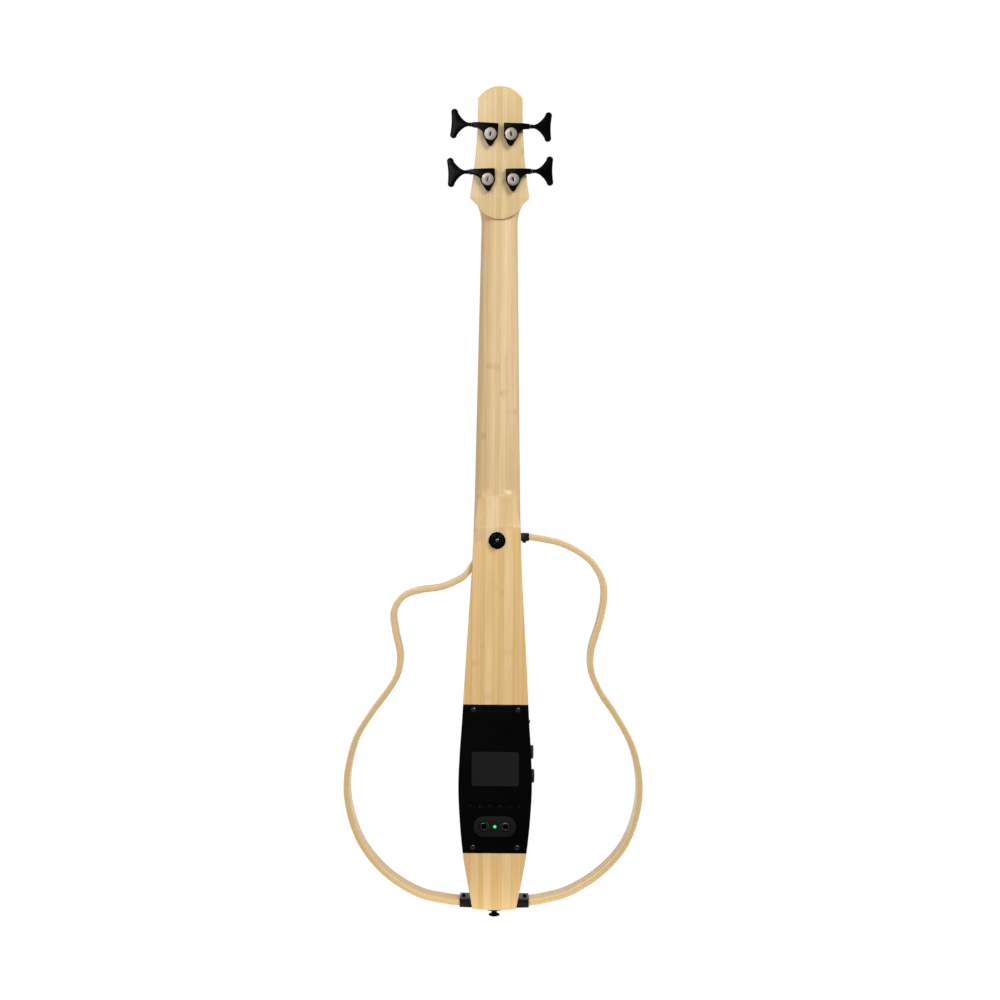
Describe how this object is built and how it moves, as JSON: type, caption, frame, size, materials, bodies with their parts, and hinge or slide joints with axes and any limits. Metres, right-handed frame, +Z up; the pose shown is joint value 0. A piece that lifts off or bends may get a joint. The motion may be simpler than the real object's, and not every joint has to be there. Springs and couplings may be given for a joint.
{
  "type": "travel bass guitar",
  "caption": "Upright short-scale travel bass in laminated bamboo: slim neck-and-body block with open bent side frames, geared tuners and a let-in electronics module",
  "frame": {"origin": "where the neck meets the headstock, on the centreline, at the playing edge of the nut and on the glue line under the fingerboard", "axes": "+Z up the neck towards the headstock, -Y is the playing side and +Y the back, +X is the treble side"},
  "size_m": [0.3607, 0.0644, 1.0008],
  "materials": {
    "bamboo": "satin clear-coated laminated bamboo",
    "bamboo_strip": "satin bent bamboo",
    "bamboo_dark": "satin caramel bamboo veneer",
    "dark_wood": "oiled dark wood",
    "black_metal": "semi-gloss black",
    "black_plastic": "satin moulded black",
    "grey_plastic": "matt dark grey",
    "satin_nickel": "satin",
    "steel": "polished",
    "chrome": "bright",
    "bone": "polished ivory",
    "pearl": "polished",
    "green_light": "clear green",
    "board_green": "varnished",
    "battery_gold": "lacquered"
  },
  "bodies": {
    "instrument": {"neck": "bamboo", "headstock": "bamboo", "headstock_face": "bamboo_dark", "fingerboard": "dark_wood", "frets": "steel", "position_dots": "pearl", "nut": "bone", "truss_rod": "steel", "truss_rod_cover": "black_plastic", "body_block": "bamboo", "bridge": "dark_wood", "saddle": "bone", "saddle_pickup": "satin_nickel", "string_e": "steel", "string_a": "steel", "string_d": "steel", "string_g": "steel", "tuner_housing_e": "black_metal", "tuner_housing_a": "black_metal", "tuner_housing_d": "black_metal", "tuner_housing_g": "black_metal", "tuner_caps": "satin_nickel", "post_bushings": "black_metal", "tuner_screws": "black_metal", "electronics_housing": "black_plastic", "back_cover": "black_plastic", "cover_screws": "steel", "label_plate": "grey_plastic", "trim_screws": "grey_plastic", "jack_plate": "grey_plastic", "headphone_jack": "chrome", "output_jack": "chrome", "power_light": "green_light", "circuit_board": "board_green", "battery": "battery_gold", "control_pots": "satin_nickel", "treble_frame": "bamboo_strip", "bass_frame": "bamboo_strip", "frame_clamps": "black_plastic", "clamp_screws": "black_metal", "heel_strap_button": "black_metal", "tail_strap_button": "black_metal", "strap_screws": "steel"},
    "key_e": {"tuner_key_e": "black_metal"},
    "post_e": {"tuner_post_e": "steel", "string_winding_e": "steel"},
    "key_a": {"tuner_key_a": "black_metal"},
    "post_a": {"tuner_post_a": "steel", "string_winding_a": "steel"},
    "key_d": {"tuner_key_d": "black_metal"},
    "post_d": {"tuner_post_d": "steel", "string_winding_d": "steel"},
    "key_g": {"tuner_key_g": "black_metal"},
    "post_g": {"tuner_post_g": "steel", "string_winding_g": "steel"},
    "volume_knob": {"volume_knob": "black_metal"},
    "tone_knob": {"tone_knob": "black_metal"},
    "power_button": {"power_button": "chrome"}
  },
  "joints": [
    {"name": "key_e_turn", "type": "hinge", "parent": "instrument", "child": "key_e", "pos_m": [-0.01594, 0.03115, 0.0521], "axis": [-0.9998, 0.003, 0.0172], "continuous": true},
    {"name": "post_e_turn", "type": "hinge", "parent": "instrument", "child": "post_e", "pos_m": [-0.0161, 0.0256, 0.04364], "axis": [0, 0.9848, -0.1736], "continuous": true},
    {"name": "key_a_turn", "type": "hinge", "parent": "instrument", "child": "key_a", "pos_m": [-0.01331, 0.04046, 0.10489], "axis": [-0.9997, -0.0039, -0.0223], "continuous": true},
    {"name": "post_a_turn", "type": "hinge", "parent": "instrument", "child": "post_a", "pos_m": [-0.0131, 0.03491, 0.09643], "axis": [0, 0.9848, -0.1736], "continuous": true},
    {"name": "key_d_turn", "type": "hinge", "parent": "instrument", "child": "key_d", "pos_m": [0.01121, 0.04046, 0.10488], "axis": [0.9986, 0.0091, 0.0515], "continuous": true},
    {"name": "post_d_turn", "type": "hinge", "parent": "instrument", "child": "post_d", "pos_m": [0.0117, 0.03491, 0.09643], "axis": [0, 0.9848, -0.1736], "continuous": true},
    {"name": "key_g_turn", "type": "hinge", "parent": "instrument", "child": "key_g", "pos_m": [0.01507, 0.03115, 0.0521], "axis": [0.9992, -0.007, -0.0395], "continuous": true},
    {"name": "post_g_turn", "type": "hinge", "parent": "instrument", "child": "post_g", "pos_m": [0.0147, 0.0256, 0.04364], "axis": [0, 0.9848, -0.1736], "continuous": true},
    {"name": "volume_turn", "type": "hinge", "parent": "instrument", "child": "volume_knob", "pos_m": [-0.043, 0.028, -0.6485], "axis": [-1, 0, 0], "range_deg": [-150, 150]},
    {"name": "tone_turn", "type": "hinge", "parent": "instrument", "child": "tone_knob", "pos_m": [-0.043, 0.028, -0.6775], "axis": [-1, 0, 0], "range_deg": [-150, 150]},
    {"name": "power_press", "type": "slide", "parent": "instrument", "child": "power_button", "axis": [1, 0, 0], "range_m": [0, 0.0008], "stiffness_N_per_m": 600, "springref_m": -0.0004}
  ],
  "couplings": [
    {"joint": "post_e_turn", "follows": "key_e_turn", "ratio": -0.05},
    {"joint": "post_a_turn", "follows": "key_a_turn", "ratio": -0.05},
    {"joint": "post_d_turn", "follows": "key_d_turn", "ratio": 0.05},
    {"joint": "post_g_turn", "follows": "key_g_turn", "ratio": 0.05}
  ]
}
